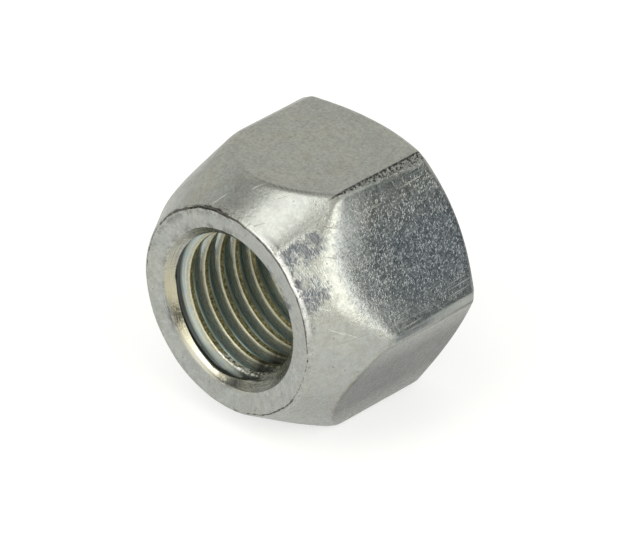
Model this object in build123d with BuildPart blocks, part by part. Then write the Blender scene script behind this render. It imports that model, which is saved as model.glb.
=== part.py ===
from math import radians, sqrt, tan
import os

from build123d import *

# A hexagon wheel nut with a conical seat, cold formed from steel in one piece.
# It lies on one of its six flats: the thread axis is Y, the seat faces -Y, two flats face +Z and -Z,
# and two corners point along +X and -X. The origin is on the thread axis, halfway between the end faces.
# Sizes are in millimetres and angles in degrees.

# Hexagon
across_flats = 19.0
length = 14.6
corner_radius = 1.5  # the six long corners

# Seat: the cone that centres the nut in the wheel
face_diameter = 15.7  # where the seat's line meets the plane of the small end face
seat_angle = 60.0  # included angle of the cone
face_edge_radius = 0.35  # between the small end face and the seat
seat_blend_radius = 1.4  # between the seat and the hexagon

# Small end face: forming leaves it dished, so that only its rim is in the end plane
dish_depth = 0.24
rim_width = 0.3  # from the seat's edge to the dish

# Large end: a turned chamfer leaves a round end face
back_face_diameter = 18.3
back_chamfer_angle = 30.0  # between the chamfer and the end face
back_blend_radius = 0.5  # between the chamfer and the hexagon

# Thread: its plain minor cylinder, with a countersink at each end
thread_diameter = 12.0
thread_pitch = 1.5
mouth_margin = 0.2  # how far a countersink's rim stands outside the thread, on the radius
countersink_angle = 90.0  # included angle of the cone

# Derived sizes
front_y = -length / 2
back_y = length / 2
thread_depth = 5 / 8 * thread_pitch * sqrt(3) / 2  # five eighths of the sharp thread triangle's height
bore_radius = thread_diameter / 2 - thread_depth
mouth_radius = thread_diameter / 2 + mouth_margin

# The turned form reaches past the hexagon's rounded corners, so that only its two cones cut them.
corner_reach = across_flats / sqrt(3)
seat_length = (corner_reach - face_diameter / 2) / tan(radians(seat_angle / 2))
chamfer_length = (corner_reach - back_face_diameter / 2) * tan(radians(back_chamfer_angle))

# The end planes, each facing out of the nut
small_end = Plane(origin=(0, front_y, 0), x_dir=(1, 0, 0), z_dir=(0, -1, 0))
small_mouth = small_end.offset(-dish_depth)  # the countersink's edge is at the bottom of the dish
large_end = Plane(origin=(0, back_y, 0), x_dir=(1, 0, 0), z_dir=(0, 1, 0))


def hexagon_edges(cone):
    """A cone's edges on the hexagon: all but its end circle and its straight seam."""
    return cone.edges().filter_by(lambda edge: edge.geom_type not in (GeomType.CIRCLE, GeomType.LINE))


with BuildPart() as lug_nut:
    # Hexagonal blank with rounded long corners, drawn on the small end and run back to the large one
    with BuildSketch(small_end) as hexagon:
        RegularPolygon(radius=across_flats / 2, side_count=6, major_radius=False)
        fillet(hexagon.vertices(), radius=corner_radius)
    extrude(amount=-length)

    # Seat and back chamfer: the blank keeps what lies inside a form turned about the thread axis
    with BuildSketch(Plane.YZ):
        Polygon(
            (front_y, 0),
            (front_y, face_diameter / 2),
            (front_y + seat_length, corner_reach),
            (back_y - chamfer_length, corner_reach),
            (back_y, back_face_diameter / 2),
            (back_y, 0),
            align=None,
        )
    revolve(axis=Axis.Y, mode=Mode.INTERSECT)

    # Soft transitions, as the forming dies leave them
    seat = lug_nut.faces().filter_by(GeomType.CONE).sort_by(Axis.Y)[0]
    fillet(hexagon_edges(seat), radius=seat_blend_radius)
    back_chamfer = lug_nut.faces().filter_by(GeomType.CONE).sort_by(Axis.Y)[-1]
    fillet(hexagon_edges(back_chamfer), radius=back_blend_radius)
    fillet(lug_nut.faces().sort_by(Axis.Y)[0].edges(), radius=face_edge_radius)

    # Dish in the small end face: a flat cone from the rim down to the edge of the countersink
    with BuildSketch(Plane.YZ):
        Polygon(
            (front_y, 0),
            (front_y, face_diameter / 2 - rim_width),
            (front_y + dish_depth, mouth_radius),
            (front_y + dish_depth, 0),
            align=None,
        )
    revolve(axis=Axis.Y, mode=Mode.SUBTRACT)

    # Thread hole, countersunk from both ends
    with Locations(small_mouth, large_end):
        CounterSinkHole(
            radius=bore_radius,
            counter_sink_radius=mouth_radius,
            counter_sink_angle=countersink_angle,
        )

lug_nut.part.label = "lug_nut"

os.makedirs("parts", exist_ok=True)
export_step(lug_nut.part, "parts/lug_nut.step")
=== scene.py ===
from math import ceil, cos, pi, radians, sin, tan
from types import SimpleNamespace

import bpy
import numpy as np
from mathutils import Matrix, Quaternion, Vector, noise


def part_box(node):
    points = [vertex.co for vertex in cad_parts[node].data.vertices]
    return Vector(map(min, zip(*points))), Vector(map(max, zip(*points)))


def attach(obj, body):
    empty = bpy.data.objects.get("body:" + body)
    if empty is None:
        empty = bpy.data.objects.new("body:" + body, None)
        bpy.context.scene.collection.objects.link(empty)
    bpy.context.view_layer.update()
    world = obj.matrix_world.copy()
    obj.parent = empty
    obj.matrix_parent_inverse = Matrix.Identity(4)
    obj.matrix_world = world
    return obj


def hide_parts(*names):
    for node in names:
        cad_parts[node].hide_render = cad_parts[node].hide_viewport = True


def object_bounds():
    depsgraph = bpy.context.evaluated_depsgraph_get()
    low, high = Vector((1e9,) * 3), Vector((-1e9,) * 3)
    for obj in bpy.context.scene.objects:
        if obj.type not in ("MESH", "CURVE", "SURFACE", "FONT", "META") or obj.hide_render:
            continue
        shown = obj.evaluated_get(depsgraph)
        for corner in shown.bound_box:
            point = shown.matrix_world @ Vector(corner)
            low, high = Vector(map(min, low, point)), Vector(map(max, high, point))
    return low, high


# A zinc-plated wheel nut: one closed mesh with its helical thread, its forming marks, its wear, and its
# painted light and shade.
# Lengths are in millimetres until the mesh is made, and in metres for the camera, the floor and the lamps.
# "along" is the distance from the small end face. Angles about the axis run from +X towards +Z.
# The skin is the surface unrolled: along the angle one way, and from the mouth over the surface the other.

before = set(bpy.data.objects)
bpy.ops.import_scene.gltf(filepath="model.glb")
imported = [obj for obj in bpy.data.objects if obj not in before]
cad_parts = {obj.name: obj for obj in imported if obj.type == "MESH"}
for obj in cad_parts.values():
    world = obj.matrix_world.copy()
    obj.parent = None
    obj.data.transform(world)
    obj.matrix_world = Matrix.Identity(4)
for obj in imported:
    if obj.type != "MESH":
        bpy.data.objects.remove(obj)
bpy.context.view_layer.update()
low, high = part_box("lug_nut")
MM = 0.001

# Main sizes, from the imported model
length = (high.y - low.y) / MM
across_flats = (high.z - low.z) / MM
front_y = low.y / MM

# Hexagon and the cones at its two ends
corner_reach_front = 10.90  # from the axis to the narrow flat that stands for each rounded corner
corner_reach_back = 10.71
corner_softness = 0.05
seat_face_radius = 7.85
seat_slope = tan(radians(30))
back_face_radius = 9.15
back_slope = tan(radians(60))

# Blends: how far two surfaces pass into each other where they meet
seat_blend = 0.55
crisp_blend = 0.08
back_blend = 0.95
end_blend = 0.22  # between the small end face and the seat
cone_blend = 0.05  # between the thread and a countersink

# Small end face
mouth_radius = 6.17
mouth_edge_rounding = 0.04
dish_depth = 0.24
rim_groove_radius = 7.74
rim_groove_width = 0.045
rim_groove_depth = 0.06
rim_bead = 0.045
rim_bead_offset = 0.15

# Thread. A turn's shares of the pitch are its crest, a flank, its root and the other flank.
pitch = 1.5
thread_radius = 6.0
bore_radius = 5.188
first_crest = 1.664  # where the first crest starts, at the angle pi
crest_share = 0.25
flank_share = 0.3125
mouth_slope = 1.0
helix_angle = 1.4  # degrees, on the unrolled skin

# Mesh
outer_columns = 384
bore_columns = 200
column_gathering = 0.45  # how much the outer columns crowd at the hexagon's corners
skin_scale = 10  # millimetres of the unrolled skin for each radian
face_skin_offset = 0.4  # on the unrolled skin, between the end face's edge and the seat
sharp_angle = 38  # degrees between two faces, past which their edge is shaded sharp
OUTSIDE, MOUTH, BORE = range(3)  # the zones of the surface

# Places of forming marks about the axis, in degrees: the middle of each and how wide it is
upper_seat_line = (76, 16)
lower_seat_line = (-32, 26)
upper_left_blend = (124, 17)
right_blend = (26, 24)
rounded_mouth = (240, 24)
torn_crests = (278, 32)
shallow_thread = (300, 38)
groove_top = 105
right_flat = 30
upper_corner = 61.2


# ---- shares and blends

def smooth_min(a, b, reach):
    h = np.clip(reach - np.abs(a - b), 0, None) / reach
    return np.minimum(a, b) - h * h * reach / 4


def smooth_max(a, b, reach):
    return -smooth_min(-a, -b, reach)


def bump_at(value, centre, width):
    return np.exp(-((value - centre) / width) ** 2)


def rise(value, start, reach):
    """0 up to start, and 1 from start + reach on."""
    return np.clip((value - start) / reach, 0, 1)


def fall(value, end, reach):
    """1 up to end - reach, and 0 from end on."""
    return np.clip((end - value) / reach, 0, 1)


def plateau(distance, reach, flat):
    """1 close by, and 0 from flat * reach on."""
    return np.clip(flat - distance / reach, 0, 1)


def angle_from(angle, centre):
    """Signed angle from centre, between -pi and pi."""
    return (angle - centre + pi) % (2 * pi) - pi


def near(angle, centre, width):
    """1 at the centre, in degrees, fading over the width."""
    return bump_at(angle_from(angle, radians(centre)), 0, radians(width))


def span(angle, centre, reach, flat):
    """A plateau about the centre. Centre and reach are in degrees."""
    return plateau(np.abs(angle_from(angle, radians(centre))), radians(reach), flat)


def noise_at(points, size, seed):
    """Smooth noise of about -1 to 1, with features of the given size in mm."""
    shift = Vector((seed * 17.3, seed * 9.1, seed * 5.7))
    return np.array([noise.noise(Vector(p) / size + shift) for p in points])


def circle_point(angle, radius):
    return np.stack([radius * np.cos(angle), np.zeros_like(angle), radius * np.sin(angle)], -1)


# ---- outside

def hexagon_radius(angle, along):
    """Distance from the axis to a hexagon whose corners, at 0, 60, ... degrees, are narrow flats."""
    from_corner = np.abs(angle_from(angle * 6, 0)) / 6
    side = across_flats / 2 / np.cos(pi / 6 - from_corner)
    reach = corner_reach_front + (corner_reach_back - corner_reach_front) * along / length
    return smooth_min(side, reach / np.cos(from_corner), corner_softness)


def outside_radius(angle, along):
    """The hexagon between its two cones. The seat meets it crisply in two places, and softly elsewhere."""
    seat = seat_face_radius + along * seat_slope
    chamfer = back_face_radius + (length - along) * back_slope
    crisp = near(angle, *upper_seat_line) ** 0.7 + 0.8 * near(angle, *lower_seat_line)
    reach = seat_blend + (crisp_blend - seat_blend) * crisp
    reach = reach + 0.7 * near(angle, *upper_left_blend)
    reach = reach + 0.25 * near(angle, *right_blend)
    back_reach = back_blend - 0.55 * near(angle, right_flat, 22)
    return smooth_min(smooth_min(hexagon_radius(angle, along), seat, reach), chamfer, back_reach)


def groove_radius(ring):
    """Where the groove at the face's rim runs: it wanders a little."""
    return rim_groove_radius + 0.06 * noise_at(ring, 1.3, 3) + 0.025 * noise_at(ring, 0.4, 5)


def groove_strength(angle):
    """The groove at the rim is deepest above, on the right and below, and nearly gone on the left."""
    above = 0.65 * near(angle, groove_top, 30)
    right = 0.9 * near(angle, 36, 28)
    below = 0.4 * near(angle, 306, 30)
    left = 0.2 * near(angle, 160, 35)
    return np.clip(0.28 + above + right + below + left, 0, 1.1)


def mouth_rounding(angle):
    """How far the mouth's edge is rounded over, in mm."""
    return mouth_edge_rounding + 0.13 * near(angle, *rounded_mouth)


def face_along(angle):
    """Gives the small end face as a function from radius to along: a dish, then a groove and a raised lip."""
    ring = circle_point(angle, 8.0)
    groove = np.clip(0.7 + 0.9 * noise_at(ring, 1.6, 1) + 0.6 * noise_at(ring, 0.45, 2), 0.15, None)
    groove = groove * (1 + 0.9 * bump_at(angle_from(angle, radians(groove_top)), 0, 0.35))
    groove = groove * groove_strength(angle)
    groove_place = groove_radius(ring)
    groove_width = rim_groove_width * (0.8 + 0.5 * np.clip(groove, 0, 2))
    lip = np.clip(0.5 + 0.8 * noise_at(ring, 2.0, 4), 0.1, 1)
    lip = lip + 0.9 * bump_at(angle_from(angle, radians(38)), 0, 0.4)
    dish_edge = seat_face_radius - 0.1
    dish_width = dish_edge - mouth_radius - 1.5 * mouth_rounding(angle)

    def along_at(radius):
        dish = dish_depth * np.clip((dish_edge - radius) / dish_width, 0, 1) ** 1.3
        along = smooth_max(dish, (radius - seat_face_radius) / seat_slope, end_blend)
        along = along + rim_groove_depth * groove * bump_at(radius, groove_place, groove_width)
        return along - rim_bead * lip * bump_at(radius, groove_place + rim_bead_offset, 0.06)

    return along_at


def mouth_rows(angle):
    """The mouth's rounded edge, as a curve from the countersink to the face."""
    rounding = mouth_rounding(angle)
    for share in (0.2, 0.4, 0.6, 0.8, 1.0):
        inner, outer = (1 - share) ** 2, share ** 2
        radius = mouth_radius - rounding * inner + 1.5 * rounding * outer
        yield radius, dish_depth + rounding * inner, radius - seat_face_radius


def face_rows(angle):
    """The small end face: a few rows over its dish, and close ones over its rim."""
    along_at = face_along(angle)
    start = mouth_radius + 1.5 * mouth_rounding(angle)
    dish_end, rim_start, rim_end, rim_step = 7.56, 7.59, 8.06, 0.027
    dish = [start + (dish_end - start) * share for share in np.linspace(0, 1, 11)[1:]]
    for radius in dish + list(np.arange(rim_start, rim_end, rim_step)):
        radius = np.broadcast_to(radius, angle.shape)
        yield radius, along_at(radius), radius - seat_face_radius


def side_rows(angle):
    """The seat, the hexagon and the chamfer. The rows are closer over the chamfer."""
    start = (8.06 - seat_face_radius) / seat_slope
    chamfer_start = length - 0.9
    chamfer = chamfer_start + 0.9 * np.linspace(0, 1, 13)[1:]
    for along in np.concatenate([np.linspace(start, chamfer_start, 88), chamfer]):
        along = np.full(angle.shape, along)
        yield outside_radius(angle, along), along, along + face_skin_offset


def large_end_rows(edge):
    """The flat face of the large end, from its edge to its mouth."""
    for share in (0.02, 0.06, 0.15, 0.3, 0.5, 0.7, 0.85, 0.95, 0.985):
        radius = edge + (mouth_radius - edge) * share
        yield radius, np.full(radius.shape, length), length + face_skin_offset + (edge - radius)


def outside_rows():
    """Rows from the small mouth over the outside to the large mouth: (radius, along, skin) for each."""
    step = np.linspace(0, 2 * pi, outer_columns, endpoint=False)
    angle = step - column_gathering * np.sin(6 * step) / 6
    rows = [*mouth_rows(angle), *face_rows(angle), *side_rows(angle)]
    edge = rows[-1][0]
    return angle, rows + list(large_end_rows(edge))


# ---- thread

# The bore's rows within one pitch, as shares of it: close together at the crest's front edge and at the root
turn_places = np.array([
    0, 0.02, 0.06, 0.15, 0.25, 0.28, 0.36, 0.44, 0.52,
    0.58, 0.625, 0.66, 0.70, 0.76, 0.83, 0.90, 0.95, 0.98,
])


def thread_radius_at(turn):
    """Radius of the bare thread at a share of the pitch, where 0 is the crest's front edge."""
    middle = crest_share / 2
    from_crest = abs((turn - middle + 0.5) % 1.0 - 0.5) - middle
    depth = smooth_min(smooth_max(from_crest / flank_share, 0.0, 0.1), 1.0, 0.12)
    return bore_radius + (thread_radius - bore_radius) * depth


def bore_rows():
    """The rows of the bore's helical grid, which climb by one pitch at the wrap: (along at angle 0, turn)."""
    start = first_crest + pitch / 2
    first_turn = -ceil(start / pitch) - 1
    turns = ceil((length + 2 * pitch) / pitch) + 4
    along = np.array([start + pitch * (first_turn + k + t) for k in range(turns) for t in turn_places])
    turn = np.tile(turn_places, turns)
    first = int(np.argmax(along > dish_depth - 0.12))
    last = int(np.argmax(along > length + pitch + 0.12))
    return along[first:last + 1], turn[first:last + 1]


def bore_surface(angle, along, turn):
    """Radius of the threaded and countersunk bore with its torn crests, and how far it is countersink."""
    ring = circle_point(angle, thread_radius)
    ring[:, 1] = along
    bare = np.full(angle.shape, thread_radius_at(turn))
    crest = np.clip(1 - (bare - bore_radius) / 0.2, 0, 1)
    torn = near(angle, *torn_crests) * bump_at(along, 1.4, 0.6)
    rough = 0.018 * noise_at(ring, 0.28, 11) + 0.014 * noise_at(ring, 0.13, 12)
    bare = bare + crest * (rough + np.abs(noise_at(ring, 0.26, 13)) * 0.2 * torn)
    bare = bare + 0.006 * noise_at(ring, 0.7, 14)
    shallow = 0.5 * near(angle, *shallow_thread) * fall(along, 1.25, 0.35)
    bare = smooth_min(bare, thread_radius - shallow, 0.1)
    front = mouth_radius - (along - dish_depth) / mouth_slope + 0.012 * noise_at(ring, 0.8, 15)
    back = mouth_radius - (length - along) / mouth_slope
    cone = np.clip((np.maximum(front, back) - bare) / 0.03 + 0.5, 0, 1)
    return smooth_max(smooth_max(bare, front, cone_blend), back, cone_blend), cone


# ---- mesh

class Points:
    """The nut's vertices as they are added, with what is known of each."""

    def __init__(self):
        self.known = {key: [] for key in ("angle", "radius", "along", "zone", "turn", "skin", "cone")}
        self.count = 0

    def add(self, angle, radius, along, zone, turn, skin, cone=0.0):
        """Adds a vertex for each angle, and gives their numbers."""
        for key, value in zip(self.known, (angle, radius, along, zone, turn, skin, cone)):
            self.known[key].extend(np.broadcast_to(value, angle.shape).tolist())
        first = self.count
        self.count += len(angle)
        return np.arange(first, self.count)

    def arrays(self):
        return SimpleNamespace(**{key: np.array(values) for key, values in self.known.items()})


def ring_faces(rings):
    faces = []
    for a, b in zip(rings[:-1], rings[1:]):
        faces += [tuple(f) for f in np.stack([a, b, np.roll(b, -1), np.roll(a, -1)], 1)]
    return faces


def zipper(inner, inner_angle, outer, outer_angle):
    """Triangles between two closed loops that are sorted by angle and differ in count."""
    faces = []
    i = j = 0
    n, m = len(inner), len(outer)
    inner_ends = np.append(inner_angle[1:], 2 * pi)
    outer_ends = np.append(outer_angle[1:], 2 * pi)
    while i < n or j < m:
        a, b = inner[i % n], outer[j % m]
        if j >= m or (i < n and inner_ends[i] <= outer_ends[j]):
            faces.append((a, b, inner[(i + 1) % n]))
            i += 1
        else:
            faces.append((a, b, outer[(j + 1) % m]))
            j += 1
    return faces


def bore_grid(points, angle, front_loop, back_loop):
    """Vertex numbers of the bore, row by row. A row's part beyond a mouth shrinks onto the mouth's loop."""
    rows, turns = bore_rows()
    mouth_edge = dish_depth + mouth_rounding(angle) + 0.015
    grid = np.empty((len(rows), bore_columns), int)
    for j, (start, turn) in enumerate(zip(rows, turns)):
        along = start - pitch * angle / (2 * pi)
        inside = (along > mouth_edge) & (along < length - 0.015)
        grid[j] = np.where(along <= mouth_edge, front_loop, back_loop)
        if inside.any():
            where, depth = angle[inside], along[inside]
            radius, cone = bore_surface(where, depth, turn)
            grid[j, inside] = points.add(where, radius, depth, BORE, turn, depth, cone)
    return grid


def grid_faces(grid, front_loop):
    """Faces of the bore's grid. At the wrap a row meets the row that is one pitch lower."""
    faces = []
    per_turn = len(turn_places)
    before_first = np.full(per_turn, front_loop[0])
    wrapped = np.concatenate([before_first, grid[:, 0]])[:len(grid)]
    closed = np.column_stack([grid, wrapped])
    for lower, upper in zip(closed[:-1], closed[1:]):
        for i in range(bore_columns):
            corners = dict.fromkeys((lower[i], lower[i + 1], upper[i + 1], upper[i]))
            if len(corners) > 2:
                faces.append(tuple(corners))
    return faces


def build_nut():
    """The whole closed surface: its vertices' facts and its faces."""
    points = Points()
    angle, rows = outside_rows()
    rings = [points.add(angle, radius, along, OUTSIDE, 0, skin) for radius, along, skin in rows]
    faces = ring_faces(rings)
    bore_angle = np.linspace(0, 2 * pi, bore_columns, endpoint=False)
    rounding = mouth_rounding(bore_angle)
    front_loop = points.add(bore_angle, mouth_radius - rounding, dish_depth + rounding, MOUTH, 0, 0.0, 1.0)
    back_loop = points.add(bore_angle, mouth_radius, length, MOUTH, 0, length, 1.0)
    grid = bore_grid(points, bore_angle, front_loop, back_loop)
    faces += grid_faces(grid, front_loop)
    faces += zipper(front_loop, bore_angle, rings[0], angle)
    faces += [face[::-1] for face in zipper(back_loop, bore_angle, rings[-1], angle)]
    return points.arrays(), faces


# ---- maps of wear and of painted light and shade, each 0 to 1 at each vertex

def measure(nut):
    """Adds what the marks are placed by: distances from the seat's line, two corners and the groove."""
    angle, along, radius = nut.angle, nut.along, nut.radius
    nut.outside = (nut.zone == OUTSIDE).astype(float)
    nut.place = np.stack([radius * np.cos(angle), along, radius * np.sin(angle)], -1)
    hexagon = hexagon_radius(angle, along)
    nut.meeting = (seat_face_radius + along * seat_slope - hexagon) / seat_slope
    nut.to_chamfer = (back_face_radius + (length - along) * back_slope - hexagon) / back_slope
    wander = 0.25 * noise_at(np.stack([along, 0 * along, 0 * along], -1), 1.3, 31)
    nut.from_upper_corner = np.radians(upper_corner + wander) - angle
    nut.from_lower_corner = angle_from(angle, 0) * corner_reach_front
    nut.ring = circle_point(angle, 8.0)
    nut.from_groove = radius - groove_radius(nut.ring)
    nut.on_sides = fall(along, length - 0.7, 0.25) * nut.outside
    nut.on_face = nut.outside * (along < 1)


def flat_maps(nut):
    """Dings on the flats; the right flat's bluish tone, partly painted shade, with a painted highlight by the
    seat; painted shade on the lower flat and by the right flat's rear edge.
    """
    angle, along, meeting, outside = nut.angle, nut.along, nut.meeting, nut.outside
    flats = rise(along, 2.6, 1.2) * outside * fall(along, length, 0.25)
    hidden = span(angle, 210, 24, 1.25) * 0.8 + span(angle, 150, 24, 1.25) * 0.35
    dinged = flats * np.clip(span(angle, right_flat, 24, 1.25) + hidden + 0.12, 0, 1)
    on_right = span(angle, 24, 18, 1.6)
    # The right flat's bluish tone, partly painted shade, darker towards the rear.
    side_flat_tone_and_shade = np.clip(meeting / (0.12 + 2.0 * on_right), 0, 1) * outside
    side_flat_tone_and_shade = side_flat_tone_and_shade * (0.02 + on_right * (0.12 + 0.8 * rise(along, 4.2, 4.5)))
    # Painted highlight on the right flat by the seat, which is also made rougher there.
    soften_and_highlight = 0.4 * on_right + 0.8 * near(angle, 48, 11)
    soften_and_highlight = np.clip(soften_and_highlight, 0, 1) * plateau(meeting, 2.6, 1.35) * rise(meeting, 0, 0.2) * outside
    # Painted shade on the lower flat.
    lower_flat_shade = rise(meeting, 0, 0.12) * span(angle, -31, 20, 1.6) * outside
    # Painted shade: a dark band by the chamfer at the right flat's rear.
    rear_edge_shade = bump_at(nut.to_chamfer, 0.05, 0.3) * (along > 10) * span(angle, 28, 18, 1.8) * outside
    return {
        "dinged": dinged,
        "side_flat_tone_and_shade": side_flat_tone_and_shade,
        "soften_and_highlight": soften_and_highlight,
        "lower_flat_shade": lower_flat_shade,
        "rear_edge_shade": rear_edge_shade,
    }


def corner_maps(nut):
    """The pitted corner above the right flat, the strip and lines along the one below, and scratches."""
    along, outside, meeting = nut.along, nut.outside, nut.meeting
    distance, across = nut.from_upper_corner, nut.from_lower_corner
    band = np.radians(0.5 + 2.5 * rise(along, 5, 8))
    pitted = np.clip(distance / radians(0.15) + 0.5, 0, 1) * np.clip(2 * (1 - distance / (2 * band)), 0, 1)
    pitted = pitted * rise(along, 4.6, 1.0) * fall(along, length - 0.9, 0.25) * outside
    corner_line = bump_at(distance, 0, radians(0.36)) * rise(along, 4.4, 0.6) * nut.on_sides
    from_corner = np.abs(angle_from(nut.angle * 6, 0)) / 6
    edge = rise(along, 5.0, 1.5) * bump_at(from_corner, radians(6), radians(4)) * outside
    width = 0.22 + 0.3 * fall(along, length, 9)
    strip = plateau(np.abs(across - 0.1), width, 1.3) * rise(along, 7.5, 5) * outside
    line = bump_at(across, -width - 0.02, 0.07) + 0.5 * bump_at(across, width + 0.2, 0.06)
    line = line * rise(meeting, 0, 0.4) * nut.on_sides
    shade = plateau(np.abs(across - 0.1), 0.34, 1.3) * fall(along, 12.5, 4) * rise(meeting, 0, 0.8)
    return {
        "pitted": pitted,
        "corner_line": corner_line,
        "edge": edge,
        "strip": strip,
        "line": line,
        "corner_shade": shade * outside,
    }


def scuff_map(nut):
    """Dark patches on the seat, by the rim: rubbed zinc, darkened further with painted shade where the seat
    mirrors a dark gap between the lamps.
    """
    angle, along = nut.angle, nut.along
    before = np.radians(56.5) - angle
    first = np.clip(before / radians(2.5) + 0.2, 0, 1) * plateau(before, radians(10), 1.4)
    first = first * fall(along, 4.4, 2.8)
    second = near(angle, 29.5, 6) * fall(along, 2.6, 1.9)
    third = 0.55 * near(angle, 92, 7) * fall(along, 2.0, 1.5)
    around = near(angle, 36, 17) * fall(along, 4.4, 2.5)
    return np.clip(first + second + third + 0.36 * around, 0, 1) * rise(along, 0.1, 0.15) * nut.outside


def seat_maps(nut):
    """Marks along the seat's line with the hexagon, and the seat's tones, among them painted shade and a
    painted highlight.
    """
    angle, along, meeting, outside = nut.angle, nut.along, nut.meeting, nut.outside
    on_seat = fall(meeting, 0, 0.3)
    quiet = span(angle, -14, 28, 1.5) * on_seat + span(angle, 140, 22, 1.5) * on_seat
    return {
        "scuff": scuff_map(nut),
        "crease": bump_at(meeting, 0.1, 0.1) * near(angle, *upper_seat_line) * outside,
        "brown_line": bump_at(meeting, 0.02, 0.12) * near(angle, -24, 24) * outside,
        # Painted highlight: the seat paler on its right, by its line with the hexagon.
        "pale": near(angle, 16, 12) * bump_at(meeting, 0.3, 1.1) * outside,
        # Painted shade: the seat darker on its lower right.
        "lower_seat_shade": near(angle, -38, 15) * fall(meeting, 0, 0.1) * outside * (along > 0.3),
        "calm": near(angle, 69, 13) * fall(along, 5, 1.5) * outside,
        "quiet": np.clip(quiet, 0, 1) * outside * (nut.radius > 8),
    }


def face_maps(nut):
    """The small end face: its groove, a painted highlight on its lip, dark spots by the mouth, brushed
    places, painted shade over all but its left side, and darker patches above.
    """
    angle, radius, from_groove, outside = nut.angle, nut.radius, nut.from_groove, nut.outside
    reach = 0.09 + 0.14 * near(angle, groove_top, 22)
    reach = reach * (1 + 0.5 * noise_at(nut.ring, 0.7, 7))
    groove = bump_at(from_groove, 0, reach) * np.clip(groove_strength(angle) + 0.15, 0, 1) * nut.on_face
    by_lip = span(angle, 39, 24, 1.4) * outside
    from_mouth = radius - mouth_radius
    brushing = near(angle, 209, 11) * bump_at(from_mouth, 0.08, 0.34)
    brushing = brushing + near(angle, 266, 8) * bump_at(from_mouth, 0.0, 0.2)
    face = fall(radius, 7.7, 0.2) * nut.on_face
    # Darker patches above, by the groove and by the mouth.
    dark_patches_above = bump_at(from_groove, -0.25, 0.25) * near(angle, 125, 45)
    dark_patches_above = np.maximum(dark_patches_above, bump_at(radius, mouth_radius + 0.1, 0.25) * near(angle, 110, 40))
    return {
        "groove": groove,
        # Painted highlight along the lip outside the groove.
        "lip": bump_at(from_groove, 0.17, 0.115) * by_lip * nut.on_face,
        "outer_line": bump_at(from_groove, 0.35, 0.06) * by_lip,
        "mouth": bump_at(radius, mouth_radius + 0.1, 0.12) * near(angle, 172, 30) * nut.on_face,
        "brushing": brushing * (nut.along < 1.2),
        "ring_face": face,
        # Painted shade: the face darker except on its left side.
        "face": face * (1 - near(angle, 180, 65)),
        "dark_patches_above": dark_patches_above * face,
    }


def bore_maps(nut):
    """The countersink's tint and painted highlight, torn metal and dark patches by the mouth, painted shade
    in the thread below, and the thread's crests with painted edge highlights and roots with painted shade.
    """
    angle, along, radius, cone = nut.angle, nut.along, nut.radius, nut.cone
    in_bore = nut.zone == BORE
    small_end = along < length - 0.5
    turned = plateau(radius - (mouth_radius + mouth_rounding(angle)), 0.1, 1) * small_end
    turned = np.where(cone > 0.5, 1, turned) * small_end
    # The brass tint is kept to the lower left, where the countersink mirrors bright light: part tint, part
    # painted reflection.
    turned = turned * span(angle, 221, 44, 1.7)
    around = angle_from(angle, radians(272))
    burr = bump_at(around, radians(2), radians(7)) + 0.15 * bump_at(around, radians(34), radians(24))
    # Painted shade in the thread below the mouth, beyond the torn crests.
    deeper = np.clip(around / radians(9) + 0.3, 0, 1) * plateau(around, radians(60), 1.4) * fall(along, 6, 2)
    deep = rise(along, 1.5, 0.5)
    from_crest = (nut.turn + 0.5) % 1.0 - 0.5
    return {
        "cone": cone,
        "turned": turned,
        # Painted highlight where the countersink shines most; it is also made smoother there.
        "polish_and_highlight": turned * near(angle, 243, 19),
        "torn": bump_at(around, radians(8), radians(34)) * fall(along, 2.3, 0.4) * in_bore,
        # A dark patch on the countersink by the torn crests, and painted shade in the thread beyond.
        "burr_dark_and_shade": np.clip(np.where(cone > 0.5, burr, deeper), 0, 1) * (nut.zone != OUTSIDE),
        "crest": in_bore * plateau(radius - bore_radius, 0.2, 1.25),
        # Painted highlight along each crest's front edge.
        "crest_edge_highlight": in_bore * bump_at(from_crest, -0.01, 0.035) * (radius < bore_radius + 0.2),
        "deep": deep,
        # Painted shade on the roots and the flanks beside them.
        "root": in_bore * rise(radius, 5.60 + 0.06 * deep, 0.12) * (cone < 0.5),
    }


def displacement(nut, maps):
    """Distance that each vertex moves along its normal, in mm: unevenness, dings and pits."""
    outside = nut.zone == OUTSIDE
    p = nut.place[outside]
    move = 0.012 * noise_at(p, 3.2, 21) + 0.006 * noise_at(p, 1.1, 22)
    dents = 0.012 * np.clip(noise_at(p, 0.5, 23) - 0.25, 0, None)
    dents = dents + 0.016 * np.clip(noise_at(p, 0.33, 24) - 0.3, 0, None)
    pits = np.clip(noise_at(p, 0.42, 25) + 0.15, 0, None) * 0.16 + 0.04 * noise_at(p, 0.25, 26)
    out = np.zeros(len(nut.place))
    out[outside] = move - dents * maps["dinged"][outside] - pits * maps["pitted"][outside]
    return out


# ---- Blender mesh

def loop_facts(mesh):
    """The vertex and the face of each face corner."""
    vertex = np.empty(len(mesh.loops), np.int32)
    mesh.loops.foreach_get("vertex_index", vertex)
    starts = np.empty(len(mesh.polygons), np.int32)
    mesh.polygons.foreach_get("loop_start", starts)
    return vertex, np.repeat(np.arange(len(starts)), np.diff(np.append(starts, len(vertex))))


def store_skin(mesh, nut, vertex, face):
    """The unrolled skin's coordinates, for each face corner so that they run on across the wrap."""
    angle = nut.angle[vertex]
    widest = np.zeros(len(mesh.polygons))
    np.maximum.at(widest, face, angle)
    angle = np.where(widest[face] - angle > pi, angle + 2 * pi, angle)
    skin = np.stack([angle * skin_scale, nut.skin[vertex], np.zeros(len(angle))], -1)
    layer = mesh.attributes.new("skin", "FLOAT_VECTOR", "CORNER")
    layer.data.foreach_set("vector", skin.astype(np.float32).ravel())


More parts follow.
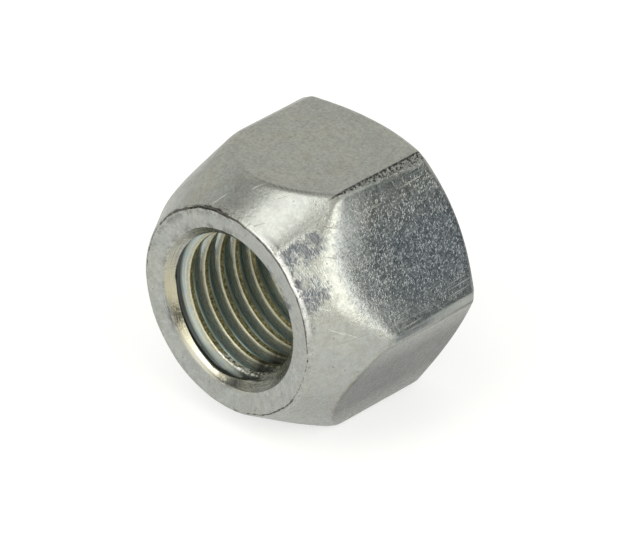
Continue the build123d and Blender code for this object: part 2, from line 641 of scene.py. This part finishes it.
def store_materials(mesh, nut, vertex, face):
    """The thread's material goes where all of a face's corners are in the thread."""
    in_thread = (nut.zone == BORE) & (nut.cone < 0.5)
    threads = np.ones(len(mesh.polygons), bool)
    np.logical_and.at(threads, face, in_thread[vertex])
    mesh.polygons.foreach_set("material_index", threads.astype(np.int32))


def make_mesh():
    nut, faces = build_nut()
    measure(nut)
    maps = {**flat_maps(nut), **corner_maps(nut), **seat_maps(nut), **face_maps(nut), **bore_maps(nut)}
    places = (nut.place + (0, front_y, 0)) * MM
    mesh = bpy.data.meshes.new("lug_nut_body")
    mesh.from_pydata(places.tolist(), [], faces)
    mesh.update()
    normals = np.empty(places.size, np.float32)
    mesh.vertex_normals.foreach_get("vector", normals)
    places = places + normals.reshape(-1, 3) * displacement(nut, maps)[:, None] * MM
    mesh.vertices.foreach_set("co", places.astype(np.float32).ravel())
    for name, values in maps.items():
        layer = mesh.attributes.new(name, "FLOAT", "POINT")
        layer.data.foreach_set("value", values.astype(np.float32))
    vertex, face = loop_facts(mesh)
    store_skin(mesh, nut, vertex, face)
    store_materials(mesh, nut, vertex, face)
    mesh.polygons.foreach_set("use_smooth", np.ones(len(mesh.polygons), bool))
    mesh.set_sharp_from_angle(angle=radians(sharp_angle))
    mesh.update()
    return mesh


# ---- materials

class Tree:
    """A few short calls for building a node tree. colour is its colour so far."""

    def __init__(self, owner):
        owner.use_nodes = True
        self.tree = owner.node_tree
        self.colour = None

    def feed(self, socket, value):
        if isinstance(value, bpy.types.NodeSocket):
            self.tree.links.new(value, socket)
        else:
            socket.default_value = value

    def node(self, kind, **settings):
        made = self.tree.nodes.new("ShaderNode" + kind)
        for key, value in settings.items():
            setattr(made, key, value)
        return made

    def math(self, operation, *values):
        made = self.node("Math", operation=operation)
        for socket, value in zip(made.inputs, values):
            self.feed(socket, value)
        return made.outputs[0]

    def times(self, a, b):
        return self.math("MULTIPLY", a, b)

    def plus(self, a, b):
        return self.math("ADD", a, b)

    def most(self, a, b):
        return self.math("MAXIMUM", a, b)

    def ramp(self, value, start, end, low=0.0, high=1.0):
        made = self.node("MapRange", interpolation_type="SMOOTHSTEP")
        for socket, item in zip(made.inputs, (value, start, end, low, high)):
            self.feed(socket, item)
        return made.outputs[0]

    def blend(self, factor, a, b):
        made = self.node("Mix", data_type="RGBA")
        self.feed(made.inputs[0], factor)
        self.feed(made.inputs[6], a)
        self.feed(made.inputs[7], b)
        return made.outputs[2]

    def tint(self, factor, colour, strength=None):
        """Lays a colour over the colour so far."""
        if strength is not None:
            factor = self.times(factor, strength)
        self.colour = self.blend(factor, self.colour, (*colour, 1))

    def along(self, vector, towards):
        """How far a vector reaches in a direction."""
        made = self.node("VectorMath", operation="DOT_PRODUCT")
        self.feed(made.inputs[0], vector)
        self.feed(made.inputs[1], towards)
        return made.outputs["Value"]


class Shader(Tree):
    """One material's node tree, with its colours, noises and marks in the nut's own coordinates."""

    def __init__(self, name):
        self.material = bpy.data.materials.new(name)
        super().__init__(self.material)
        self.surface = self.tree.nodes["Principled BSDF"]

    def map(self, name, output="Fac"):
        """One of the mesh's wear maps, or its skin coordinates."""
        return self.node("Attribute", attribute_name=name).outputs[output]

    def tint_marks(self, marks):
        """Lays the colour of each (attribute, strength, colour) over the base colour, in their order."""
        for name, strength, colour in marks:
            self.tint(self.map(name), colour, strength)

    def noise(self, vector, scale, detail=2.0, roughness=0.5):
        made = self.node("TexNoise")
        self.feed(made.inputs["Vector"], vector)
        self.feed(made.inputs["Scale"], scale)
        self.feed(made.inputs["Detail"], detail)
        self.feed(made.inputs["Roughness"], roughness)
        return made.outputs[0]

    def cells(self, vector, scale=1.0):
        """Distance to the nearest cell's middle, and that cell's random value."""
        made = self.node("TexVoronoi")
        self.feed(made.inputs["Vector"], vector)
        self.feed(made.inputs["Scale"], scale)
        parts = self.node("SeparateColor")
        self.feed(parts.inputs[0], made.outputs["Color"])
        return made.outputs["Distance"], parts.outputs[0]

    def point_in_mm(self):
        scale = self.node("VectorMath", operation="SCALE")
        self.feed(scale.inputs[0], self.node("TexCoord").outputs["Object"])
        scale.inputs["Scale"].default_value = 1 / MM
        return scale.outputs[0]

    def placed(self, vector, turn=0.0, size=(1, 1), shift=(0, 0)):
        """The skin's coordinates turned by degrees, then scaled so that one unit is size mm."""
        turned = self.node("Mapping", vector_type="POINT")
        self.feed(turned.inputs["Vector"], vector)
        turned.inputs["Rotation"].default_value = (0, 0, radians(turn))
        scaled = self.node("Mapping", vector_type="POINT")
        self.feed(scaled.inputs["Vector"], turned.outputs[0])
        scaled.inputs["Scale"].default_value = (1 / size[0], 1 / size[1], 1)
        scaled.inputs["Location"].default_value = (*shift, 0)
        return scaled.outputs[0]

    def streaks(self, turn, size, detail=2.0, roughness=0.5, shift=(0, 0)):
        """Noise drawn out along the skin."""
        return self.noise(self.placed(self.skin, turn, size, shift), 1.0, detail, roughness)

    def strokes(self, turn, width, long, share, shift):
        """Short marks of one direction: 1 at the middle of a mark. share is how many cells hold one."""
        distance, chance = self.cells(self.placed(self.skin, turn, (width, long), shift))
        picked = self.ramp(chance, 1 - share - 0.02, 1 - share + 0.02)
        return self.times(self.ramp(distance, 0.42, 0.05), picked)

    def bump(self, height, distance, strength=1.0, hollow=False):
        """Lays relief over the normal so far. distance is in mm."""
        made = self.node("Bump", invert=hollow)
        self.feed(made.inputs["Strength"], strength)
        self.feed(made.inputs["Distance"], distance * MM)
        self.feed(made.inputs["Height"], height)
        socket = self.surface.inputs["Normal"]
        if socket.is_linked:
            self.feed(made.inputs["Normal"], socket.links[0].from_socket)
        self.feed(socket, made.outputs[0])


# Colours of the marks on the plating, in the order they are laid: (attribute, strength, colour). Several are
# painted highlights and shade, as noted by each.
seat_and_flat_marks = (
    # painted highlight on the seat's right
    ("pale", 0.3, (0.66, 0.67, 0.60)),
    # painted shade on the seat's lower right
    ("lower_seat_shade", 0.5, (0.37, 0.38, 0.355)),
    # the right flat's bluish tone, partly painted shade
    ("side_flat_tone_and_shade", None, (0.225, 0.262, 0.29)),
    # painted highlight on the right flat by the seat
    ("soften_and_highlight", None, (0.66, 0.69, 0.69)),
    # painted shade on the lower flat
    ("lower_flat_shade", None, (0.185, 0.19, 0.178)),
    # painted shade by the right flat's rear edge
    ("rear_edge_shade", 0.85, (0.07, 0.075, 0.08)),
)
corner_marks = (
    ("strip", 0.8, (0.43, 0.455, 0.42)),
    ("line", 0.75, (0.13, 0.125, 0.11)),
)
countersink_marks = (
    # brass tint on the lit side: part tint, part painted reflection
    ("turned", 0.9, (0.60, 0.56, 0.39)),
    # painted highlight, on the smoother part
    ("polish_and_highlight", 0.9, (0.84, 0.83, 0.72)),
)

# Kinds of tumbling dings: (turn in degrees, width, length, share of the places that have one)
first_dings = (30, 0.12, 0.42, 0.44)
other_dings = (
    (24, 0.15, 0.55, 0.25),
    (74, 0.11, 0.34, 0.36),
    (-18, 0.11, 0.32, 0.22),
    (52, 0.09, 0.27, 0.4),
)


class PlatedZinc(Shader):
    """The outside: matt zinc plate with grain, specks, tumbling dings, scratches and dark pitted places, and
    painted highlights and shade in places.
    """

    def __init__(self):
        super().__init__("plated_zinc")
        self.point = self.point_in_mm()
        self.skin = self.map("skin", "Vector")
        self.dinged, self.pitted = self.map("dinged"), self.map("pitted")
        self.scuff, self.groove = self.map("scuff"), self.map("groove")
        self.plate()
        self.corner_shade()
        self.end_face()
        self.grainy_plate()
        self.tint_marks(corner_marks)
        self.specks()
        self.rubbed_and_shaded_patches()
        self.pitted_corner()
        self.rim()
        self.seat_lines()
        self.tumbling_dings()
        self.scratches()
        self.countersink()
        self.feed(self.surface.inputs["Base Color"], self.colour)
        self.surface.inputs["Metallic"].default_value = 1.0
        self.roughness()
        self.relief()

    def plate(self):
        """Zinc that is cloudy, mottled and faintly stained, then the tones of the seat and the flats, several
        of them painted highlights and shade.
        """
        cloud = self.noise(self.point, 0.35, 3)
        self.mottle = self.noise(self.point, 2.0, 4, 0.6)
        stain = self.noise(self.point, 0.9, 4, 0.65)
        self.colour = (0.48, 0.505, 0.475, 1)
        self.tint(self.ramp(cloud, 0.35, 0.65), (0.53, 0.535, 0.485))
        self.tint(self.ramp(self.mottle, 0.42, 0.66, 0, 0.55), (0.41, 0.42, 0.385))
        self.tint(self.ramp(stain, 0.5, 0.7, 0, 0.5), (0.44, 0.42, 0.36))
        self.tint_marks(seat_and_flat_marks)

    def corner_shade(self):
        """A dark, streaky band along the corner below the right flat."""
        lengthwise = self.streaks(2, (0.09, 1.4), 3, 0.6)
        shade = self.times(self.map("corner_shade"), self.ramp(lengthwise, 0.38, 0.56, 0.55, 1.0))
        self.tint(shade, (0.10, 0.115, 0.13))

    def end_face(self):
        """The small end face: frosted and worn in places, darkened with painted shade except on its left
        side, and darker in patches by the mouth and the groove above.
        """
        ring_face = self.map("ring_face")
        # Painted shade over the face except on its left side.
        self.tint(self.map("face"), (0.36, 0.375, 0.36), 0.3)
        frost = self.ramp(self.noise(self.point, 3.2, 4, 0.7), 0.46, 0.64)
        self.tint(self.times(frost, ring_face), (0.60, 0.64, 0.63), 0.35)
        worn = self.ramp(self.noise(self.point, 1.3, 5, 0.7), 0.42, 0.62)
        self.tint(self.times(worn, ring_face), (0.33, 0.345, 0.33), 0.35)
        # Darker patches above, by the groove and by the mouth.
        self.tint(self.times(worn, self.map("dark_patches_above")), (0.16, 0.16, 0.145), 0.7)

    def grainy_plate(self):
        """Fine grain, weaker where the plate is even."""
        calm = self.map("calm")
        self.tint(calm, (0.45, 0.465, 0.44), 0.85)
        even = self.most(calm, self.map("lower_flat_shade"))
        even = self.most(even, self.times(self.map("ring_face"), 0.8))
        self.even = self.most(even, self.map("quiet"))
        self.grain = self.noise(self.point, 4.5, 3, 0.65)
        grainy = self.ramp(self.even, 0, 1, 1.0, 0.4)
        self.tint(self.times(self.ramp(self.grain, 0.46, 0.62, 0, 0.35), grainy), (0.30, 0.305, 0.28))
        self.tint(self.times(self.ramp(self.grain, 0.46, 0.34, 0, 0.3), grainy), (0.62, 0.64, 0.60))

    def specks(self):
        distance, chance = self.cells(self.point, 2.4)
        speck = self.times(self.ramp(distance, 0.2, 0.08), self.ramp(chance, 0.7, 0.74))
        self.tint(speck, (0.16, 0.155, 0.13), 0.6)

    def rubbed_and_shaded_patches(self):
        """Dark blue-grey patches where the seat was rubbed, partly painted shade, with painted glints on the
        scratches over them.
        """
        rubbed = self.streaks(8, (0.9, 0.08), 3, 0.6)
        patch = self.plus(self.times(self.noise(self.point, 1.2, 5, 0.7), 0.68), self.times(rubbed, 0.32))
        patch = self.plus(patch, self.times(self.scuff, 0.24))
        patch = self.times(self.ramp(self.scuff, 0.05, 0.5), self.ramp(patch, 0.58, 0.70))
        fine = self.streaks(-6, (0.7, 0.05), 2, 0.5, (3, 4))
        patch = self.times(patch, self.ramp(fine, 0.60, 0.47, 0.3, 1.0))
        # Dark patches: rubbed zinc, partly painted shade.
        self.tint(patch, (0.105, 0.12, 0.15), 0.9)
        scratched = self.strokes(38, 0.1, 0.9, 0.4, (1, 6))
        scratched = self.most(scratched, self.strokes(-48, 0.09, 0.7, 0.35, (4, 2)))
        scratched = self.times(scratched, self.ramp(self.scuff, 0.2, 0.6))
        # Painted glints on the scratches.
        self.tint(scratched, (0.84, 0.86, 0.85), 0.5)

    def pitted_corner(self):
        """The corner above the right flat: grey metal with black pits."""
        self.black = self.streaks(10, (0.14, 0.25), 4, 0.75)
        pits = self.times(self.pitted, self.ramp(self.black, 0.47, 0.55))
        line = self.times(self.map("corner_line"), self.ramp(self.black, 0.3, 0.5, 0.5, 0.95))
        self.pits = self.plus(pits, line)
        self.tint(self.pitted, (0.34, 0.35, 0.35), 0.5)
        self.tint(self.ramp(self.pits, 0, 1), (0.045, 0.045, 0.04))

    def rim(self):
        """Dark colour in the end face's groove, a painted highlight along the lip, and a broken dark line
        outside it.
        """
        # Dark colour in the groove, in uneven patches.
        groove_dark = self.plus(self.times(self.noise(self.point, 2.6, 4, 0.7), 1.4), -0.7)
        groove_dark = self.ramp(self.plus(self.groove, groove_dark), 0.4, 0.75)
        self.tint(self.times(groove_dark, self.ramp(self.groove, 0.1, 0.4)), (0.075, 0.07, 0.06), 0.9)
        bright = self.ramp(self.noise(self.point, 2.0, 3, 0.6), 0.34, 0.5)
        # Painted highlight along the lip.
        self.tint(self.times(self.map("lip"), bright), (1.0, 1.0, 0.98))
        broken = self.ramp(self.noise(self.point, 1.7, 3, 0.6), 0.4, 0.52)
        self.tint(self.times(self.map("outer_line"), broken), (0.09, 0.095, 0.11))

    def seat_lines(self):
        """Dark and brown lines where the seat meets two flats, and spots by the mouth."""
        self.tint(self.map("crease"), (0.13, 0.125, 0.11), 0.85)
        uneven = self.ramp(self.noise(self.point, 1.8, 3, 0.6), 0.35, 0.6, 0.25, 0.85)
        self.tint(self.times(self.map("brown_line"), uneven), (0.22, 0.195, 0.13))
        spots = self.ramp(self.noise(self.point, 5.0, 3, 0.6), 0.5, 0.58)
        self.tint(self.times(self.map("mouth"), spots), (0.12, 0.12, 0.10), 0.8)

    def tumbling_dings(self):
        """Small dings in several directions, their dents in the relief and their glints painted brighter,
        over dark and bright flecks.
        """
        dings = self.strokes(*first_dings, (3, 5))
        for turn, width, long, share in other_dings:
            dings = self.most(dings, self.strokes(turn, width, long, share, (turn * 0.37, turn * 0.11)))
        dense = self.ramp(self.noise(self.point, 0.7, 2), 0.35, 0.6, 0.45, 1.0)
        self.dings = self.times(self.times(dings, dense), self.dinged)
        # Painted glints: the dings lighter in colour, with their dents in the relief.
        self.tint(self.dings, (0.62, 0.64, 0.65), 0.3)
        blotch = self.times(self.ramp(self.noise(self.point, 1.3, 4, 0.7), 0.42, 0.6), self.dinged)
        self.tint(blotch, (0.14, 0.165, 0.19), 0.24)
        self.fleck = self.noise(self.point, 6.0, 3, 0.6)
        self.tint(self.times(self.ramp(self.fleck, 0.5, 0.64, 0, 0.55), self.dinged), (0.13, 0.145, 0.16))
        self.tint(self.times(self.ramp(self.fleck, 0.5, 0.36, 0, 0.42), self.dinged), (0.60, 0.62, 0.62))

    def scratches(self):
        """Lengthwise scratches by the corners, and a few odd ones anywhere."""
        lengthwise = self.times(self.strokes(2, 0.09, 4.0, 0.5, (2, 2)), self.map("edge"))
        self.tint(lengthwise, (0.62, 0.64, 0.62), 0.4)
        odd = self.strokes(-37, 0.10, 3.0, 0.05, (5, 3))
        odd = self.times(odd, self.ramp(self.dinged, 0.2, 0.9, 1.0, 0.15))
        self.cut = self.plus(lengthwise, odd)
        off_cone = self.ramp(self.map("cone"), 0.5, 0.1)
        self.tint(self.times(self.strokes(14, 0.08, 3.5, 0.06, (6, 2)), off_cone), (0.18, 0.17, 0.15), 0.5)

    def countersink(self):
        """Turned metal with a brass tint that is partly painted reflection, a painted highlight, tool marks,
        a dark patch and painted shade by the torn crests, and dark brushed places on the face by it.
        """
        self.tint_marks(countersink_marks)
        tool_marks = self.ramp(self.streaks(0, (5.0, 0.035), 3, 0.6), 0.5, 0.6)
        shown = self.ramp(self.map("turned"), 0.8, 0.1, 0.1, 0.75)
        self.tint(self.times(tool_marks, self.times(self.map("cone"), shown)), (0.16, 0.15, 0.12))
        # A dark patch by the torn crests.
        self.tint(self.map("burr_dark_and_shade"), (0.15, 0.16, 0.155), 0.8)
        streaky = self.ramp(self.streaks(5, (1.2, 0.06), 3, 0.6, (2, 1)), 0.42, 0.52)
        self.tint(self.times(self.map("brushing"), streaky), (0.07, 0.08, 0.11))

    def roughness(self):
        polish_and_highlight = self.times(self.map("polish_and_highlight"), -1.3)
        rough = self.ramp(self.mottle, 0.3, 0.7, 0.22, 0.31)
        rough = self.plus(rough, self.times(self.map("side_flat_tone_and_shade"), 0.06))
        rough = self.plus(rough, self.times(self.pits, 0.2))
        rough = self.plus(rough, self.times(self.map("soften_and_highlight"), 0.28))
        rough = self.plus(rough, self.times(self.plus(self.map("turned"), polish_and_highlight), -0.09))
        self.feed(self.surface.inputs["Roughness"], rough)

    def relief(self):
        crossed = self.streaks(-30, (0.7, 0.09))
        brushed = self.times(self.plus(self.streaks(6, (1.1, 0.075)), crossed), self.scuff)
        evenness = self.ramp(self.even, 0, 1, 1.0, 0.25)
        self.bump(self.dings, 0.023, hollow=True)
        self.bump(self.times(self.fleck, self.dinged), 0.009)
        self.bump(brushed, 0.03)
        self.bump(self.cut, 0.02, hollow=True)
        self.bump(self.grain, 0.016, evenness)
        self.bump(self.mottle, 0.02, evenness)
        self.bump(self.times(self.black, self.ramp(self.pitted, 0.2, 0.6)), 0.05)


class CutThread(Shader):
    """The tapped thread: bright smooth flanks, olive torn crests with painted highlights on their front
    edges, and dark green roots with painted shade, darker deeper in.
    """

    def __init__(self):
        super().__init__("cut_thread")
        self.point = self.point_in_mm()
        self.skin = self.map("skin", "Vector")
        self.crest, self.root = self.map("crest"), self.map("root")
        self.streak = self.streaks(helix_angle, (3.5, 0.05))
        self.flanks_and_roots()
        self.crests()
        self.feed(self.surface.inputs["Base Color"], self.colour)
        self.surface.inputs["Metallic"].default_value = 0.8
        rough = self.plus(self.ramp(self.streak, 0.3, 0.7, 0.11, 0.16), self.times(self.crest, 0.3))
        rough = self.plus(rough, self.times(self.root, 0.2))
        self.feed(self.surface.inputs["Roughness"], rough)
        self.bump(self.streak, 0.004)
        self.bump(self.times(self.noise(self.point, 6.0, 3), self.crest), 0.03)

    def flanks_and_roots(self):
        mottle = self.noise(self.point, 1.6, 3)
        self.colour = (0.53, 0.61, 0.59, 1)
        self.tint(self.ramp(mottle, 0.35, 0.65), (0.61, 0.63, 0.55))
        self.tint(self.ramp(self.streak, 0.45, 0.7, 0, 0.4), (0.20, 0.23, 0.22))
        # Painted shade in the roots, darker deeper into the bore.
        shaded = self.blend(self.map("deep"), (0.05, 0.062, 0.062, 1), (0.32, 0.41, 0.39, 1))
        self.colour = self.blend(self.times(self.root, 0.94), self.colour, shaded)

    def crests(self):
        """Torn olive crests with a painted highlight along the front edge, dark colour and painted shade
        below the mouth, and painted glints on the torn metal by the mouth.
        """
        torn = self.ramp(self.noise(self.point, 5.0, 4, 0.7), 0.38, 0.62)
        olive = self.blend(torn, (0.13, 0.115, 0.03, 1), (0.50, 0.44, 0.20, 1))
        self.colour = self.blend(self.times(self.crest, 0.95), self.colour, olive)
        crest_edge_highlight = self.map("crest_edge_highlight")
        # Painted highlight along the crests' front edges.
        self.tint(crest_edge_highlight, (0.80, 0.79, 0.64), 0.85)
        uneven = self.ramp(self.noise(self.point, 2.6, 3), 0.35, 0.5, 0.6, 1.0)
        # Painted shade in the thread below the mouth, and a dark patch by the torn crests.
        self.tint(self.times(self.map("burr_dark_and_shade"), uneven), (0.05, 0.055, 0.045), 0.9)
        ragged = self.times(self.map("torn"), self.most(self.times(self.crest, 0.6), crest_edge_highlight))
        glints = self.ramp(self.noise(self.point, 4.5, 3, 0.6), 0.47, 0.53)
        # Painted glints on the torn metal.
        self.tint(self.times(glints, self.ramp(ragged, 0.12, 0.4)), (0.95, 0.97, 0.93))


# ---- scene

def add_object(name, data):
    made = bpy.data.objects.new(name, data)
    bpy.context.scene.collection.objects.link(made)
    return made


def make_nut():
    nut = add_object("lug_nut_body", make_mesh())
    nut.data.materials.append(PlatedZinc().material)
    nut.data.materials.append(CutThread().material)
    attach(nut, "root")
    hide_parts("lug_nut")


# The floor's own light, as the camera sees it and as the plating mirrors it
floor_half_width = 0.6
floor_seen = 0.62
floor_mirrored = (0.30, 0.46)  # it grows across the floor, from the back left to the front right
floor_gradient = (0.6, -0.8, 0)
floor_gradient_reach = 22  # mm, either way from the nut


def make_floor():
    """A pale floor that shows white, and keeps the nut's soft shadow."""
    s = Shader("pale_floor")
    s.surface.inputs["Base Color"].default_value = (0.5, 0.5, 0.5, 1)
    s.surface.inputs["Roughness"].default_value = 0.9
    s.surface.inputs["Specular IOR Level"].default_value = 0.0
    glow = s.node("Emission")
    glow.inputs["Color"].default_value = (1, 1, 1, 1)
    path = s.node("LightPath")
    ahead = s.along(s.point_in_mm(), floor_gradient)
    pool = s.ramp(ahead, -floor_gradient_reach, floor_gradient_reach, *floor_mirrored)
    seen = s.times(path.outputs["Is Camera Ray"], floor_seen)
    s.feed(glow.inputs["Strength"], s.plus(seen, s.times(path.outputs["Is Glossy Ray"], pool)))
    add = s.node("AddShader")
    s.feed(add.inputs[0], s.surface.outputs[0])
    s.feed(add.inputs[1], glow.outputs[0])
    s.feed(s.tree.nodes["Material Output"].inputs["Surface"], add.outputs[0])
    half, z = floor_half_width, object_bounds()[0].z
    corners = [(-half, -half, z), (half, -half, z), (half, half, z), (-half, half, z)]
    mesh = bpy.data.meshes.new("floor")
    mesh.from_pydata(corners, [], [(0, 1, 2, 3)])
    mesh.materials.append(s.material)
    add_object("floor", mesh)


def direction(azimuth, elevation):
    a, e = radians(azimuth), radians(elevation)
    return Vector((sin(a) * cos(e), -cos(a) * cos(e), sin(e)))


softbox_distance = 0.6


def softbox(name, azimuth, elevation, roll, size, radiance, colour):
    """A rectangular lamp that faces the nut. radiance is its brightness as the nut's plating mirrors it."""
    lamp = bpy.data.lights.new(name, "AREA")
    lamp.shape = "RECTANGLE"
    lamp.size, lamp.size_y = size
    lamp.energy = radiance * pi * size[0] * size[1]
    lamp.color = colour
    box = add_object(name, lamp)
    towards = direction(azimuth, elevation)
    box.location = towards * softbox_distance
    box.rotation_mode = "QUATERNION"
    box.rotation_quaternion = towards.to_track_quat("Z", "Y") @ Quaternion((0, 0, 1), radians(roll))
    box.visible_camera = False


# The studio as the plating mirrors it: azimuth, elevation, inner and outer half angle, colour
studio_base = (0.68, 0.675, 0.635)
studio_tones = {
    "dark_corner": (134, 14, 5, 25, (0.078, 0.10, 0.12)),
    "shade_left": (-84, 52, 6, 20, (0.40, 0.41, 0.40)),
    "bright_front": (4, 5, 6, 24, (1.05, 1.05, 1.0)),
    "window_right": (23, 26, 14, 18, (1.5, 1.47, 1.35)),
    "window_left": (-15, 42, 16, 20, (1.5, 1.47, 1.35)),
    "shade_by_camera": (38, 9, 6, 11, (0.13, 0.14, 0.15)),
    "dark_low_left": (-56, 4, 16, 26, (0.13, 0.135, 0.125)),
    "dark_front_left": (-50, 37, 5, 11, (0.12, 0.125, 0.12)),
}


def make_world():
    """The studio that the plating mirrors. The camera sees white."""
    world = bpy.data.worlds.new("studio")
    bpy.context.scene.world = world
    s = Tree(world)
    towards = s.node("TexCoord").outputs["Generated"]
    s.colour = (*studio_base, 1)
    for azimuth, elevation, inner, outer, tone in studio_tones.values():
        facing = s.along(towards, direction(azimuth, elevation))
        s.tint(s.ramp(facing, cos(radians(outer)), cos(radians(inner))), tone)
    s.tint(s.node("LightPath").outputs["Is Camera Ray"], (1, 1, 1))
    s.feed(s.tree.nodes["Background"].inputs["Color"], s.colour)


def make_lights():
    softbox("softbox_right", 90, 28, 0, (0.44, 0.56), 1.5, (1.0, 0.99, 0.93))
    softbox("softbox_front", -4, 58, 12, (0.34, 0.50), 1.35, (1.0, 1.0, 0.97))
    make_world()


# The photograph's viewing angle, through a long lens. It looks a little beside the small end face's middle.
camera_azimuth, camera_elevation, camera_roll = 43.58, 32.42, 1.02
camera_distance = 0.9245
camera_lens = 766
aim_right, aim_up = 0.0061, 0.00285


def make_camera():
    camera = bpy.data.cameras.new("camera")
    camera.sensor_width = 36
    camera.lens = camera_lens
    camera.clip_start, camera.clip_end = 0.05, 10
    back = direction(camera_azimuth, camera_elevation)
    level = Vector((cos(radians(camera_azimuth)), sin(radians(camera_azimuth)), 0))
    upright = back.cross(level)
    roll = radians(camera_roll)
    right = cos(roll) * level + sin(roll) * upright
    up = cos(roll) * upright - sin(roll) * level
    aim = Vector((0, low.y, 0)) + aim_right * right + aim_up * up
    holder = add_object("camera", camera)
    axes = Matrix((right, up, back)).transposed().to_4x4()
    holder.matrix_world = Matrix.Translation(aim + back * camera_distance) @ axes
    bpy.context.scene.camera = holder


make_camera()
make_nut()
make_floor()
make_lights()
bpy.context.scene.view_settings.view_transform = "Standard"
